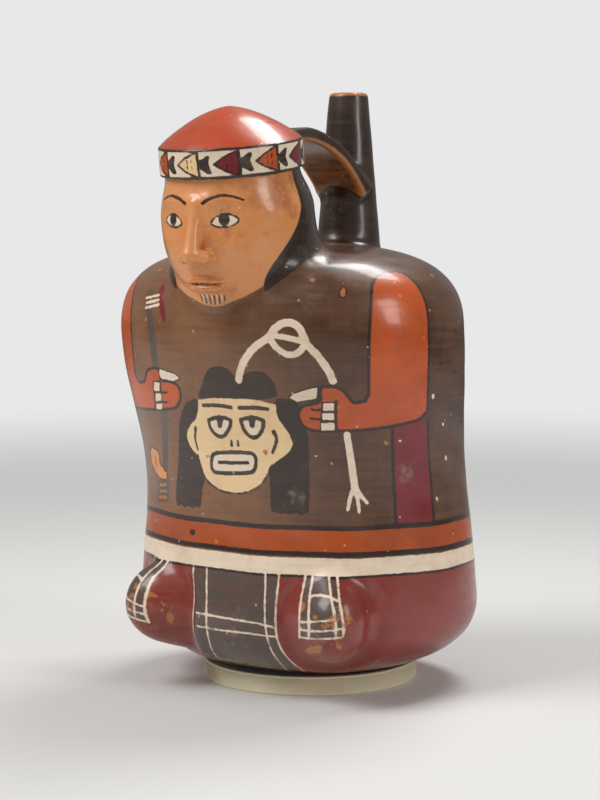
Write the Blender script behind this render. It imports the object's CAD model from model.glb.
"""Looks of a slip-painted clay figure bottle that stands on a padded display ring.

The bottle's clay forms are written as distance fields, melted into one another where the potter
smoothed the joints, and skinned once. The skin is then shared out to the pieces that the solid model
names. The painting is a set of brush shapes laid out on the unrolled surface; each vertex keeps its
distance to every slip's edge, and the finish turns those distances into crisp brushed edges.
Lengths in the forms and the paintwork are millimetres from the middle of the ring, at table height.
"""

import logging
import math
from collections.abc import Sequence
from dataclasses import dataclass, field
from enum import Enum
from functools import cached_property

import bmesh
import bpy
import numpy as np
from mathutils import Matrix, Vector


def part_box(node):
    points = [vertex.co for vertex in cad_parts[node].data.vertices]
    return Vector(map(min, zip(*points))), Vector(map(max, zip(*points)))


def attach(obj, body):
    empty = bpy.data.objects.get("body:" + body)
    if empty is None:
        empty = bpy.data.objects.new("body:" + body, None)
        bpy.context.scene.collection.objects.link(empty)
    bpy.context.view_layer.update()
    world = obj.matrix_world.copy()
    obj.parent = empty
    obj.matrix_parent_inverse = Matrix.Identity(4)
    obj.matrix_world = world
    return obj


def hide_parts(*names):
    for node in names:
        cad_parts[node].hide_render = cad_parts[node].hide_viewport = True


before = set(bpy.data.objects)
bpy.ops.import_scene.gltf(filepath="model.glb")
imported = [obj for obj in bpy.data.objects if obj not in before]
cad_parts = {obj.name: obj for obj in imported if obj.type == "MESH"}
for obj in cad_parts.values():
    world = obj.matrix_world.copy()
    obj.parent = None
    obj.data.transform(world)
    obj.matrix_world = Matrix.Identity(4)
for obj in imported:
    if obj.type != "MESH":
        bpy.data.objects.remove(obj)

import openvdb
from mathutils import Matrix, Vector

LOG = logging.getLogger("figure_bottle")
Array = np.ndarray
Point = tuple[float, float]
Path = tuple[Point, ...]
Points = Sequence[Point] | Array
Place = tuple[float, float, float]
Colour = tuple[float, float, float]
Socket = bpy.types.NodeSocket
METRE = 0.001
SKIN_STEP = 0.79
SAME = np.array([1, 1])
MIRROR = np.array([-1, 1])


def srgb(red: float, green: float, blue: float) -> Colour:
    """A linear colour from the 0 to 255 values seen on a screen."""
    shares = [value / 255 for value in (red, green, blue)]
    return tuple(s / 12.92 if s <= 0.04045 else ((s + 0.055) / 1.055) ** 2.4 for s in shares)


def smooth(low: float, high: float, value: Array) -> Array:
    """0 below low, 1 above high and an S curve between."""
    share = np.clip((value - low) / (high - low), 0.0, 1.0)
    return share * share * (3 - 2 * share)


def bump(offset: Array, width: float) -> Array:
    """A bell of height 1 and the given half width."""
    return np.exp(-((offset / width) ** 2))


def melt(a: Array, b: Array, reach: float | Array) -> Array:
    """The union of two distance fields with a fillet of about that reach."""
    share = np.maximum(reach - np.abs(a - b), 0.0) / reach
    return np.minimum(a, b) - share * share * reach / 4


def carve(a: Array, b: Array, reach: float) -> Array:
    """What is inside both fields, with a rounded edge of about that reach."""
    return -melt(-a, -b, reach)


def egg(points: Array, centre: Place, radii: Place) -> Array:
    """Distance to an ellipsoid."""
    near = (points - centre) / radii
    length = np.linalg.norm(near, axis=1) + 1e-9
    slope = np.linalg.norm(near / radii, axis=1) + 1e-9
    return length * (length - 1) / slope


def levelled(value: Array, out: Array, up: Array, least: float = 1e-6) -> Array:
    """About how far a form's surface is, where its value is 1, from the value's slopes out and up."""
    return (value - 1) / np.sqrt(out**2 + up**2 + least)


def lengths(x: Array, y: Array) -> Array:
    """Length of a line from its start to each of its points."""
    return np.concatenate([[0], np.cumsum(np.hypot(np.diff(x), np.diff(y)))])


def show(name: str, data: bpy.types.ID) -> bpy.types.Object:
    """A new object in the scene."""
    thing = bpy.data.objects.new(name, data)
    bpy.context.scene.collection.objects.link(thing)
    return thing


@dataclass(frozen=True)
class Span:
    """A share that changes along an S curve between two measures."""

    share: float
    low: float
    high: float

    def rise(self, value: Array) -> Array:
        """0 below the span and the whole share above it."""
        return self.share * smooth(self.low, self.high, value)

    def fall(self, value: Array) -> Array:
        """The whole share below the span and 0 above it."""
        return self.share * (1 - smooth(self.low, self.high, value))


@dataclass(frozen=True)
class Swell:
    """A soft rise or dip on both halves of the face: its height, its place and its reach each way."""

    rise: float
    across: float
    wide: float
    up: float
    tall: float

    def at(self, x: Array, h: Array) -> Array:
        """How far it lifts the surface."""
        return self.rise * bump(x - self.across, self.wide) * bump(h - self.up, self.tall)


# Forms of the clay


@dataclass(frozen=True)
class BodyForm:
    """The bowl, wall and shoulders as one closed form."""

    floor: float = 5.0
    top: float = 209.0
    belt: float = 59.5
    shoulder: float = 150.0
    half_width: float = 83.0
    pinch: float = 4.0
    bowl_top: float = 45.0
    bowl_power: float = 2.5
    dome_start: float = 165.0
    dome_power: float = 2.9
    plan_power: float = 2.15
    base_depth: float = 0.90
    front_depth: float = 0.79
    back_depth: float = 0.88
    forward: float = 3.0
    lean: float = 17.0
    lean_start: float = 70.0
    lean_end: float = 178.0

    def plan(self, points: Array) -> tuple[Array, Array, Array]:
        """Splits points into the plan's own terms.

        Args:
            points: rows of x, y, z.

        Returns:
            x, y from the middle of the section scaled to its width, and the depth share.
        """
        x, y, z = points.T
        foot = smooth(self.floor, self.belt, z)
        lean = smooth(self.lean_start, self.lean_end, z)
        off = y + self.forward * foot + self.lean * lean
        depth = self.base_depth + (self.front_depth - self.base_depth) * foot
        depth = depth + np.where(off > 0, (self.back_depth - self.front_depth) * lean, 0.0)
        return x, off / depth, depth

    def distance(self, points: Array) -> Array:
        """About how far each point is outside the body."""
        x, off, depth = self.plan(points)
        z = points[:, 2]
        n = self.plan_power
        radius = (np.abs(x) ** n + np.abs(off) ** n) ** (1 / n) + 1e-6
        share = np.clip((z - self.bowl_top) / (self.dome_start - self.bowl_top), 0, 1)
        half = self.half_width - self.pinch * np.sin(np.pi * share) ** 2
        low = z < self.bowl_top
        span = np.where(low, self.bowl_top - self.floor, self.top - self.dome_start)
        end = np.maximum(np.where(low, self.bowl_top - z, z - self.dome_start), 0) / span
        power = np.where(low, self.bowl_power, self.dome_power)
        side = radius / half
        value = (side**power + end**power) ** (1 / power) + 1e-6
        level = np.sqrt(x * x + (off / depth) ** 2) / radius
        slope_out = (side / value) ** (power - 1) / half * level
        slope_up = (end / value) ** (power - 1) / span
        return levelled(value, slope_out, slope_up, 1e-9)

    @cached_property
    def girth(self) -> tuple[Array, Array]:
        """Angles round the section and the length of surface from the front to each."""
        angle = np.linspace(-np.pi, np.pi, 1441)
        x = self.half_width * np.sin(angle)
        y = self.half_width * self.front_depth * np.cos(angle)
        length = lengths(x, y)
        return angle, length - length[len(angle) // 2]

    @cached_property
    def rise(self) -> tuple[Array, Array]:
        """Heights and the length of surface up to each, equal on the upright wall."""
        turn = np.linspace(0, np.pi / 2, 300)
        bowl = self.bowl_top - self.floor
        dome = self.top - self.dome_start
        low_z = self.bowl_top - bowl * np.sin(turn[::-1]) ** (2 / self.bowl_power)
        low_r = self.half_width * np.cos(turn[::-1]) ** (2 / self.bowl_power)
        high_z = self.dome_start + dome * np.sin(turn) ** (2 / self.dome_power)
        high_r = self.half_width * np.cos(turn) ** (2 / self.dome_power)
        z, r = np.concatenate([low_z, high_z]), np.concatenate([low_r, high_r])
        length = lengths(z, r)
        return z, length - length[len(low_z) - 1] + self.bowl_top

    def unroll(self, points: Array) -> Array:
        """Surface coordinates: u round the body to the figure's left, v up the body."""
        x, off, _ = self.plan(points)
        u = np.interp(np.arctan2(x, -off), *self.girth)
        return np.stack([u, np.interp(points[:, 2], *self.rise)], 1)


@dataclass(frozen=True)
class HeadForm:
    """The head with its face, hair, band and cap, along its own nodding axis."""

    centre: Place = (0.0, -67.5, 223.5)
    nod: float = math.radians(8)
    half_width: float = 33.3
    depth: float = 1.04
    chin_drop: float = 46.0
    chin_power: float = 2.3
    brow_width: float = 30.0
    band_low: float = 18.5
    band_high: float = 31.0
    band_radius: float = 32.1
    cap_rise: float = 16.3
    cap_side: float = 1.55
    cap_crown: float = 1.10
    hair_edge: float = math.radians(93)
    brow: Swell = Swell(1.3, 10.0, 13.0, 9.0, 4.2)
    socket: Swell = Swell(-2.1, 13.8, 8.2, 0.6, 6.0)
    lid: Swell = Swell(1.5, 13.8, 5.6, 0.0, 3.4)
    cheek: Swell = Swell(1.0, 17.0, 8.5, -13.0, 8.0)
    muzzle: Swell = Swell(1.4, 0.0, 12.5, -27.0, 8.5)
    crease: Swell = Swell(-0.8, 0.0, 9.0, -34.8, 2.6)
    chin: Swell = Swell(2.0, 0.0, 9.0, -39.5, 5.0)
    hair_rise: float = 0.9
    back_rise: float = 1.0
    nose_top: Place = (0.0, -32.4, 7.5)
    nose_tip: Place = (0.0, -39.4, -13.6)
    ridge: float = 2.7
    ridge_swell: float = 1.8
    wing: tuple[Place, Place] = ((4.9, -36.0, -15.2), (3.3, 4.2, 3.4))
    nostril: tuple[Place, Place] = ((2.9, -39.0, -18.6), (1.5, 2.0, 2.2))
    upper_lip: tuple[Place, Place] = ((0.0, -29.2, -25.9), (10.0, 3.3, 2.1))
    lower_lip: tuple[Place, Place] = ((0.0, -28.9, -29.9), (8.6, 3.5, 2.3))
    lip_bow: float = 0.012

    def local(self, points: Array) -> Array:
        """Points in the head's own frame: x, y and height on its axis."""
        off = points - np.array(self.centre)
        c, s = math.cos(self.nod), math.sin(self.nod)
        return np.stack([off[:, 0], c * off[:, 1] + s * off[:, 2], c * off[:, 2] - s * off[:, 1]], 1)

    def side(self, q: Array) -> Array:
        """Angle of a point round the head, 0 at the front and pi at the back."""
        return np.arctan2(np.abs(q[:, 0]), -q[:, 1] / self.depth)

    def relief(self, q: Array) -> Array:
        """How far face and hair stand out of the plain egg: brow, sockets, lids, cheeks, mouth and chin."""
        x, h = np.abs(q[:, 0]), q[:, 2]
        front = smooth(0.30, 0.75, -q[:, 1] / self.half_width)
        swells = (self.brow, self.socket, self.lid, self.cheek, self.muzzle, self.crease, self.chin)
        face = front * sum(swell.at(x, h) for swell in swells)
        below = 1 - smooth(7.4, self.band_low, h)
        locks = self.hair_rise * smooth(self.hair_edge - 0.05, self.hair_edge + 0.07, self.side(q)) * below
        back = self.back_rise * smooth(0, 0.6, q[:, 1] / self.half_width) * bump(h + 4.1, 14.1) * below
        return face + locks + back

    def skull(self, q: Array) -> Array:
        """Distance to the egg of the head with its relief."""
        h = q[:, 2]
        radius = np.hypot(q[:, 0], q[:, 1] / self.depth) - self.relief(q)
        drop = np.maximum(-h, 0) / self.chin_drop
        wide = self.half_width + (self.brow_width - self.half_width) * smooth(0, self.band_low, h)
        side = np.maximum(radius, 0) / wide
        value = np.sqrt(side**2 + drop**self.chin_power) + 1e-6
        slope_out = side / value / wide
        slope_up = self.chin_power / 2 * drop ** (self.chin_power - 1) / value / self.chin_drop
        return np.maximum(levelled(value, slope_out, slope_up), h - self.band_high)

    def nose(self, q: Array) -> Array:
        """Distance to the nose: a ridge that widens to its tip, and two wings."""
        top, tip = np.array(self.nose_top), np.array(self.nose_tip)
        along = tip - top
        t = np.clip((q - top) @ along / (along @ along), 0, 1)
        thick = self.ridge + self.ridge_swell * t * t
        ridge = np.linalg.norm(q - top - t[:, None] * along, axis=1) - thick
        folded = np.stack([np.abs(q[:, 0]), q[:, 1], q[:, 2]], 1)
        return carve(melt(ridge, egg(folded, *self.wing), 2.6), -egg(folded, *self.nostril), 0.8)

    def lips(self, q: Array) -> Array:
        """Distance to the two lips."""
        bow = q + np.stack([0 * q[:, 0], 0 * q[:, 0], self.lip_bow * q[:, 0] ** 2], 1)
        return np.minimum(egg(bow, *self.upper_lip), egg(q, *self.lower_lip))

    def band(self, q: Array) -> Array:
        """Distance to the headband's strip."""
        radius = np.hypot(q[:, 0], q[:, 1] / self.depth)
        middle = (self.band_low + self.band_high) / 2
        half = (self.band_high - self.band_low) / 2
        return carve(radius - self.band_radius, np.abs(q[:, 2] - middle) - half, 0.9)

    def cap(self, q: Array) -> Array:
        """Distance to the cap's blunt cone."""
        side = np.hypot(q[:, 0], q[:, 1] / self.depth) / self.band_radius + 1e-6
        rise = np.maximum(q[:, 2] - self.band_high, 0) / self.cap_rise + 1e-6
        value = side**self.cap_side + rise**self.cap_crown
        slope_out = self.cap_side * side ** (self.cap_side - 1) / self.band_radius
        slope_up = self.cap_crown * rise ** (self.cap_crown - 1) / self.cap_rise
        return np.maximum(levelled(value, slope_out, slope_up), self.band_high - 0.4 - q[:, 2])


@dataclass(frozen=True)
class KneeForm:
    """One knee: a knob that points out of the bowl. side is 1 on the figure's left."""

    side: int
    turn: float = math.radians(38)
    centre_out: float = 68.0
    height: float = 40.0
    radii: Place = (17.0, 25.0, 20.5)

    def turned(self, points: Array) -> tuple[Array, Array]:
        """Places of points across the knee and out along it."""
        s, c = self.side * math.sin(self.turn), math.cos(self.turn)
        return points[:, 0] * c + points[:, 1] * s, points[:, 0] * s - points[:, 1] * c

    def distance(self, points: Array) -> Array:
        """Distance to the knob."""
        across, out = self.turned(points)
        local = np.stack([across, out - self.centre_out, points[:, 2] - self.height], 1)
        return egg(local, (0.0, 0.0, 0.0), self.radii)


@dataclass(frozen=True)
class SpoutForm:
    """The tapered spout with its bore."""

    x: float = 5.2
    y: float = 28.0
    foot: float = 209.0
    top: float = 281.0
    foot_radius: float = 15.5
    lip_radius: float = 9.2
    foot_bore: float = 9.5
    lip_bore: float = 6.2
    bore_end: float = 193.0
    lip_round: float = 2.4
    sunk: float = 30.0

    def taper(self, points: Array, foot: float, lip: float) -> Array:
        """Distance to a tapered round wall on the spout's axis, from its radii at foot and lip."""
        share = (points[:, 2] - self.foot) / (self.top - self.foot)
        radius = np.hypot(points[:, 0] - self.x, points[:, 1] - self.y)
        return radius - (foot + (lip - foot) * share)

    def distance(self, points: Array) -> Array:
        """Distance to the outside of the spout."""
        z = points[:, 2]
        wall = self.taper(points, self.foot_radius, self.lip_radius)
        return np.maximum(carve(wall, z - self.top, self.lip_round), self.foot - self.sunk - z)

    def bore(self, points: Array) -> Array:
        """Distance to the hollow inside."""
        return np.maximum(self.taper(points, self.foot_bore, self.lip_bore), self.bore_end - points[:, 2])


@dataclass(frozen=True)
class StrapForm:
    """The flat strap that arches from the head to the spout."""

    start: Place = (0.0, -67.5, 247.0)
    end: Place = (5.2, 22.0, 234.0)
    crest: float = 258.5
    skew: float = 0.10
    half_thickness: float = 3.4
    head_half: float = 15.0
    waist_half: float = 11.8
    spout_half: float = 13.3
    edge: float = 2.0
    length: float = 110.0
    near_low: Place = (-26.0, -75.0, 212.0)
    near_high: Place = (30.0, 36.0, 276.0)
    outside: float = 40.0
    batch: int = 20000

    def path(self, t: Array) -> Array:
        """Points on the strap's middle line at shares t of its length."""
        a, b = np.array(self.start), np.array(self.end)
        lift = 2 * self.crest - (a[2] + b[2]) / 2
        pull = np.array([b[0] / 2, (a[1] + b[1]) / 2 + (b[1] - a[1]) * self.skew, lift])
        s = t[:, None]
        return a * (1 - s) ** 2 + pull * (2 * s * (1 - s)) + b * s**2

    def half(self, t: Array) -> Array:
        """Half the strap's width along its length."""
        half = self.waist_half + (self.head_half - self.waist_half) * (1 - smooth(0.25, 0.55, t))
        return half + (self.spout_half - half) * smooth(0.50, 0.85, t)

    def across(self, points: Array) -> tuple[Array, Array, Array]:
        """Where points lie on the strap.

        Args:
            points: rows of x, y, z.

        Returns:
            The share along the path, the offset sideways and the offset up from the middle line.
        """
        stations = np.linspace(0, 1, 121)
        line = self.path(stations)
        gap = (points[:, None, 1] - line[None, :, 1]) ** 2 + (points[:, None, 2] - line[None, :, 2]) ** 2
        best = np.clip(np.argmin(gap, axis=1), 1, len(stations) - 2)
        tangent = line[best + 1] - line[best - 1]
        tangent /= np.linalg.norm(tangent[:, 1:], axis=1)[:, None]
        off = points - line[best]
        slide = off[:, 1] * tangent[:, 1] + off[:, 2] * tangent[:, 2]
        up = off[:, 2] * tangent[:, 1] - off[:, 1] * tangent[:, 2]
        t = stations[best] + slide / self.length
        return t, off[:, 0] - slide * tangent[:, 0], up

    def distance(self, points: Array) -> Array:
        """Distance to the strap, worked out only near it."""
        out = np.full(len(points), self.outside)
        near = np.flatnonzero(np.all((points > self.near_low) & (points < self.near_high), axis=1))
        for part in np.array_split(near, max(1, len(near) // self.batch)):
            t, side, up = self.across(points[part])
            half = self.half(t)
            qx = np.abs(side) - half + self.edge
            qy = np.abs(up) - self.half_thickness + self.edge
            inside = np.minimum(np.maximum(qx, qy), 0)
            flat = np.hypot(np.maximum(qx, 0), np.maximum(qy, 0)) + inside - self.edge
            out[part] = carve(flat, (t - 1) * self.length, self.edge)
        return out


class Clay(Enum):
    """The pieces of the bottle, by the names they have in the solid model."""

    BOWL = "base_bowl"
    TORSO = "torso_wall"
    SHOULDER = "shoulder_dome"
    LEFT_KNEE = "left_knee"
    RIGHT_KNEE = "right_knee"
    FACE = "face_shell"
    NOSE = "nose"
    BAND = "headband"
    CAP = "cap_dome"
    NAPE = "nape_hair"
    SPOUT = "spout"
    COLLAR = "spout_collar"
    STRAP = "bridge_strap"

    @property
    def number(self) -> int:
        """The piece's place in this list."""
        return list(Clay).index(self)


@dataclass
class Bottle:
    """All the clay forms together."""

    body: BodyForm = field(default_factory=BodyForm)
    head: HeadForm = field(default_factory=HeadForm)
    left_knee: KneeForm = field(default_factory=lambda: KneeForm(1))
    right_knee: KneeForm = field(default_factory=lambda: KneeForm(-1))
    spout: SpoutForm = field(default_factory=SpoutForm)
    strap: StrapForm = field(default_factory=StrapForm)
    nape_behind: float = 22.0
    nape_height: float = 203.0
    nape_radii: Place = (25.3, 18.6, 25.1)
    knee_fillet: float = 6.5
    nape_fillet: float = 8.0
    lip_fillet: float = 1.4
    nose_fillet: float = 2.6
    band_fillet: float = 0.5
    chin_fillet: float = 3.5
    neck_fillet: Span = Span(9.0, -102.0, -66.0)
    spout_fillet: float = 8.0
    strap_fillet: float = 5.0
    bore_edge: float = 1.0
    thumb_top: Span = Span(1.0, 50.0, 59.0)
    wave: float = 0.30
    ripple: float = 0.10

    def nape(self, points: Array) -> Array:
        """Distance to the hair between head and shoulders."""
        centre = (0.0, self.nape_behind + self.head.centre[1], self.nape_height)
        return egg(points, centre, self.nape_radii)

    def forms(self, points: Array) -> dict[Clay, Array]:
        """Distance of each point to every piece's own plain form; the body is under TORSO."""
        q = self.head.local(points)
        return {
            Clay.TORSO: self.body.distance(points),
            Clay.LEFT_KNEE: self.left_knee.distance(points),
            Clay.RIGHT_KNEE: self.right_knee.distance(points),
            Clay.FACE: melt(self.head.skull(q), self.head.lips(q), self.lip_fillet),
            Clay.NOSE: self.head.nose(q),
            Clay.BAND: self.head.band(q),
            Clay.CAP: self.head.cap(q),
            Clay.NAPE: self.nape(points),
            Clay.SPOUT: self.spout.distance(points),
            Clay.STRAP: self.strap.distance(points),
        }

    def distance(self, points: Array) -> Array:
        """Distance to the whole bottle, with its smoothed joints and a hand-made unevenness."""
        d = self.forms(points)
        x, y, z = points.T
        whole = melt(d[Clay.TORSO], d[Clay.LEFT_KNEE], self.knee_fillet)
        whole = melt(whole, d[Clay.RIGHT_KNEE], self.knee_fillet)
        whole = melt(whole, d[Clay.NAPE], self.nape_fillet)
        head = melt(d[Clay.FACE], d[Clay.NOSE], self.nose_fillet)
        head = melt(melt(head, d[Clay.BAND], self.band_fillet), d[Clay.CAP], self.band_fillet)
        whole = melt(whole, head, self.chin_fillet + self.neck_fillet.rise(y))
        whole = melt(whole, d[Clay.SPOUT], self.spout_fillet)
        whole = melt(whole, d[Clay.STRAP], self.strap_fillet)
        whole = carve(whole, -self.spout.bore(points), self.bore_edge)
        knee = np.minimum(d[Clay.LEFT_KNEE], d[Clay.RIGHT_KNEE])
        trough = 1.0 * bump(knee - 4.5, 2.6)
        lip = 0.45 * bump(knee - 10.5, 3.0)
        whole = whole + (trough - lip) * self.thumb_top.fall(z)
        waves = self.wave * np.sin(x / 17 + 1.3) * np.sin(y / 19 + 0.7) * np.sin(z / 15)
        ripples = self.ripple * np.sin(x / 6.1 + z / 7.3) * np.sin(y / 6.7 + z / 5.2 + 2)
        return whole + waves + ripples

    def pieces(self, points: Array) -> Array:
        """Index in Clay of the piece that each point belongs to."""
        d = self.forms(points)
        nearest = np.argmin(np.stack(list(d.values())), axis=0)
        index = np.array([piece.number for piece in d])[nearest]
        body = index == Clay.TORSO.number
        index[body & (points[:, 2] < self.body.belt)] = Clay.BOWL.number
        index[body & (points[:, 2] > self.body.shoulder)] = Clay.SHOULDER.number
        fillet = np.minimum(d[Clay.SPOUT], d[Clay.TORSO]) > 0.35
        fillet &= (np.abs(d[Clay.SPOUT]) < 6) & (np.abs(d[Clay.TORSO]) < 6)
        index[fillet & (points[:, 1] > 0)] = Clay.COLLAR.number
        return index


@dataclass
class Skin:
    """One closed mesh over the whole bottle."""

    bottle: Bottle
    step: float
    low: Place = (-90.0, -122.0, -1.0)
    high: Place = (90.0, 72.0, 288.0)
    coarse: int = 4
    batch: int = 400000
    slope_reach: float = 0.15
    vertices: Array = field(init=False)
    normals: Array = field(init=False)
    faces: Array = field(init=False)

    def __post_init__(self) -> None:
        """Fills a voxel grid near the surface, skins it and pulls the skin onto the true form."""
        low, coarse, band = np.array(self.low), self.coarse, 3 * self.step
        count = np.ceil((self.high - low) / self.step / coarse).astype(int) + 1
        block = self.step * coarse
        centres = self.grid(low + (block - self.step) / 2, block, count)
        rough = self.measure(centres).reshape(count)
        near, values = (
            each.repeat(coarse, 0).repeat(coarse, 1).repeat(coarse, 2)
            for each in (np.abs(rough) < block * 1.5, np.sign(rough).astype(np.float32) * np.float32(band))
        )
        values[near] = np.clip(self.measure(low + np.argwhere(near) * self.step), -band, band)
        grid = openvdb.FloatGrid(band)
        grid.copyFromArray(values)
        points, quads = grid.convertToQuads(0.0)
        self.vertices = low + np.asarray(points, float) * self.step
        self.faces = np.asarray(quads, int)
        for _ in range(2):
            slope = self.slope(self.vertices)
            length = np.einsum("ij,ij->i", slope, slope) + 1e-9
            move = slope * (self.measure(self.vertices) / length)[:, None]
            size = np.linalg.norm(move, axis=1)[:, None] + 1e-9
            self.vertices = self.vertices - move * np.minimum(1, 0.6 * self.step / size)
        slope = self.slope(self.vertices)
        self.normals = slope / (np.linalg.norm(slope, axis=1)[:, None] + 1e-9)
        corners = self.vertices[self.faces]
        facing = np.cross(corners[:, 2] - corners[:, 0], corners[:, 3] - corners[:, 1])
        if np.mean(np.einsum("ij,ij->i", facing, self.normals[self.faces[:, 0]])) < 0:
            self.faces = self.faces[:, ::-1]

    @staticmethod
    def grid(low: Array, step: float, count: Array) -> Array:
        """Rows of grid points, x slowest."""
        axes = [low[i] + step * np.arange(count[i]) for i in range(3)]
        return np.stack(np.meshgrid(*axes, indexing="ij"), -1).reshape(-1, 3)

    def measure(self, points: Array) -> Array:
        """The bottle's distance at many points, a share at a time."""
        parts = np.array_split(points, max(1, len(points) // self.batch))
        return np.concatenate([self.bottle.distance(part) for part in parts])

    def slope(self, points: Array) -> Array:
        """The field's gradient."""
        reach = self.slope_reach
        rises = [self.measure(points + axis) - self.measure(points - axis) for axis in np.eye(3) * reach]
        return np.stack(rises, 1) / (2 * reach)


@dataclass(frozen=True)
class View:
    """The camera, also used to lay the painting where it is seen. Pixels are of a 600 by 800 image."""

    around: float = math.radians(30)
    turn: float = math.radians(30.289)
    tilt: float = math.radians(5.02)
    distance: float = 1000.0
    height: float = 221.0
    focal: float = 2083.0
    width: int = 600
    length: int = 800
    search_start: float = 190.0
    search_steps: int = 90
    search_span: Point = (-2.0, 12.0)
    search_care: float = 0.8
    hit: float = 0.02

    @property
    def eye(self) -> Array:
        """Where the camera is."""
        across = self.distance * math.sin(self.around)
        return np.array([across, -self.distance * math.cos(self.around), self.height])

    def rays(self, pixels: Array) -> Array:
        """Unit directions through image points."""
        right = np.array([math.cos(self.turn), math.sin(self.turn), 0.0])
        level = math.cos(self.tilt)
        ahead = np.array([-math.sin(self.turn) * level, math.cos(self.turn) * level, -math.sin(self.tilt)])
        up = np.cross(right, ahead)
        x = (pixels[:, :1] - self.width / 2) / self.focal
        y = (self.length / 2 - pixels[:, 1:]) / self.focal
        rays = ahead + x * right + y * up
        return rays / np.linalg.norm(rays, axis=1)[:, None]

    def trace(self, bottle: Bottle, pixels: Array) -> Array:
        """Points of the bottle seen at image points; a miss gives the nearest approach."""
        rays = self.rays(pixels)
        reach = np.full(len(rays), self.distance - self.search_start)
        best = np.full(len(rays), np.inf)
        kept = reach.copy()
        for _ in range(self.search_steps):
            gap = bottle.distance(self.eye + rays * reach[:, None])
            closer = (np.abs(gap) < best) & (best > self.hit)
            best = np.where(closer, np.abs(gap), best)
            kept = np.where(closer, reach, kept)
            reach = reach + np.clip(gap, *self.search_span) * self.search_care
        return self.eye + rays * kept[:, None]

    def camera(self, offset: Vector) -> None:
        """Adds the camera and makes it the scene's own."""
        data = bpy.data.cameras.new("camera")
        data.lens = self.focal * data.sensor_width / self.length
        camera = show("camera", data)
        camera.location = Vector(self.eye * METRE) + offset
        camera.rotation_euler = (math.pi / 2 - self.tilt, 0, self.turn)
        bpy.context.scene.camera = camera


# Paintwork


class Slip(Enum):
    """The slips of the painting, in the order that they are laid on."""

    SKIRT = "skirt_red"
    MAROON = "maroon"
    FLESH = "flesh"
    CAP = "cap_red"
    HAIR = "black_brown"
    GREY = "grey"
    ORANGE = "orange"
    BELT = "belt_orange"
    YELLOW = "yellow"
    CLAY = "bare_clay"
    SOOT = "soot"
    DARK = "outline"
    CREAM = "cream"
    INK = "ink"


def soften(points: Array, closed: bool, rounds: int) -> Array:
    """Rounds a line's corners by cutting them."""
    for _ in range(rounds):
        now = points if closed else points[:-1]
        after = np.roll(points, -1, axis=0) if closed else points[1:]
        cut = np.stack([0.75 * now + 0.25 * after, 0.25 * now + 0.75 * after], 1).reshape(-1, 2)
        points = cut if closed else np.concatenate([points[:1], cut, points[-1:]])
    return points


def stroke_distance(at: Array, line: Array, widths: Array) -> Array:
    """Distance of each point to a brush stroke along a line."""
    best = np.full(len(at), 1e3)
    for a, b, wide, wide_after in zip(line, line[1:], widths, widths[1:]):
        along = b - a
        t = np.clip((at - a) @ along / (along @ along + 1e-9), 0, 1)
        gap = np.linalg.norm(at - a - t[:, None] * along, axis=1)
        best = np.minimum(best, gap - (wide + (wide_after - wide) * t) / 2)
    return best


def area_distance(at: Array, ring: Array) -> Array:
    """Distance of each point to a filled outline, negative inside."""
    best = np.full(len(at), 1e6)
    inside = np.zeros(len(at), bool)
    for a, b in zip(ring, np.roll(ring, -1, axis=0)):
        along, off = b - a, at - a
        t = np.clip(off @ along / (along @ along + 1e-9), 0, 1)
        gap = off - t[:, None] * along
        best = np.minimum(best, np.einsum("ij,ij->i", gap, gap))
        if a[1] != b[1]:
            across = (a[1] > at[:, 1]) != (b[1] > at[:, 1])
            inside ^= across & (off[:, 0] < along[0] * off[:, 1] / along[1])
    return np.sqrt(best) * np.where(inside, -1, 1)


@dataclass
class Canvas:
    """The bottle's skin with its coats of slip.

    The drawing methods take outlines and lines in image points or, where seen is False, in surface
    coordinates. Widths are millimetres.
    """

    bottle: Bottle
    view: View
    points: Array
    far: float = 8.0
    layers: dict[Slip, Array] = field(init=False)
    sheet: Array = field(init=False)
    clothed: Array = field(init=False)

    def __post_init__(self) -> None:
        """Unrolls the skin."""
        self.layers = {slip: np.full(len(self.points), self.far, np.float32) for slip in Slip}
        self.sheet = self.bottle.body.unroll(self.points)
        cloth = (Clay.BOWL, Clay.TORSO, Clay.SHOULDER, Clay.LEFT_KNEE, Clay.RIGHT_KNEE)
        self.clothed = np.isin(self.bottle.pieces(self.points), [piece.number for piece in cloth])

    def place(self, points: Points, seen: bool = True) -> Array:
        """Surface coordinates of drawn points."""
        drawn = np.array(points, float)
        return self.bottle.body.unroll(self.view.trace(self.bottle, drawn)) if seen else drawn

    def lay(self, slip: Slip, distance: Array, where: Array | slice = slice(None)) -> None:
        """Adds a shape, given by its distances, to one coat."""
        self.layers[slip][where] = np.minimum(self.layers[slip][where], distance)

    def near(self, shape: Array, margin: float) -> Array:
        """Indices of clothed skin near a shape."""
        low, high = shape.min(0) - margin, shape.max(0) + margin
        return np.flatnonzero(self.clothed & np.all((self.sheet > low) & (self.sheet < high), axis=1))

    def fill(
        self, slip: Slip, points: Points, edge: float = 0, rounds: int = 1, seen: bool = True,
        edge_slip: Slip = Slip.DARK,
    ) -> None:
        """Fills an outline, with a line of edge width round it."""
        ring = soften(self.place(points, seen), True, rounds)
        where = self.near(ring, self.far)
        distance = area_distance(self.sheet[where], ring)
        self.lay(slip, distance, where)
        if edge:
            self.lay(edge_slip, np.abs(distance) - edge / 2, where)

    def line(
        self, slip: Slip, points: Points, width: float, end: float | None = None, rounds: int = 2,
        seen: bool = True,
    ) -> None:
        """Draws a brush stroke that may taper to an end width."""
        path = soften(self.place(points, seen), False, rounds)
        where = self.near(path, self.far)
        widths = np.linspace(width, width if end is None else end, len(path))
        self.lay(slip, stroke_distance(self.sheet[where], path, widths), where)


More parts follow.
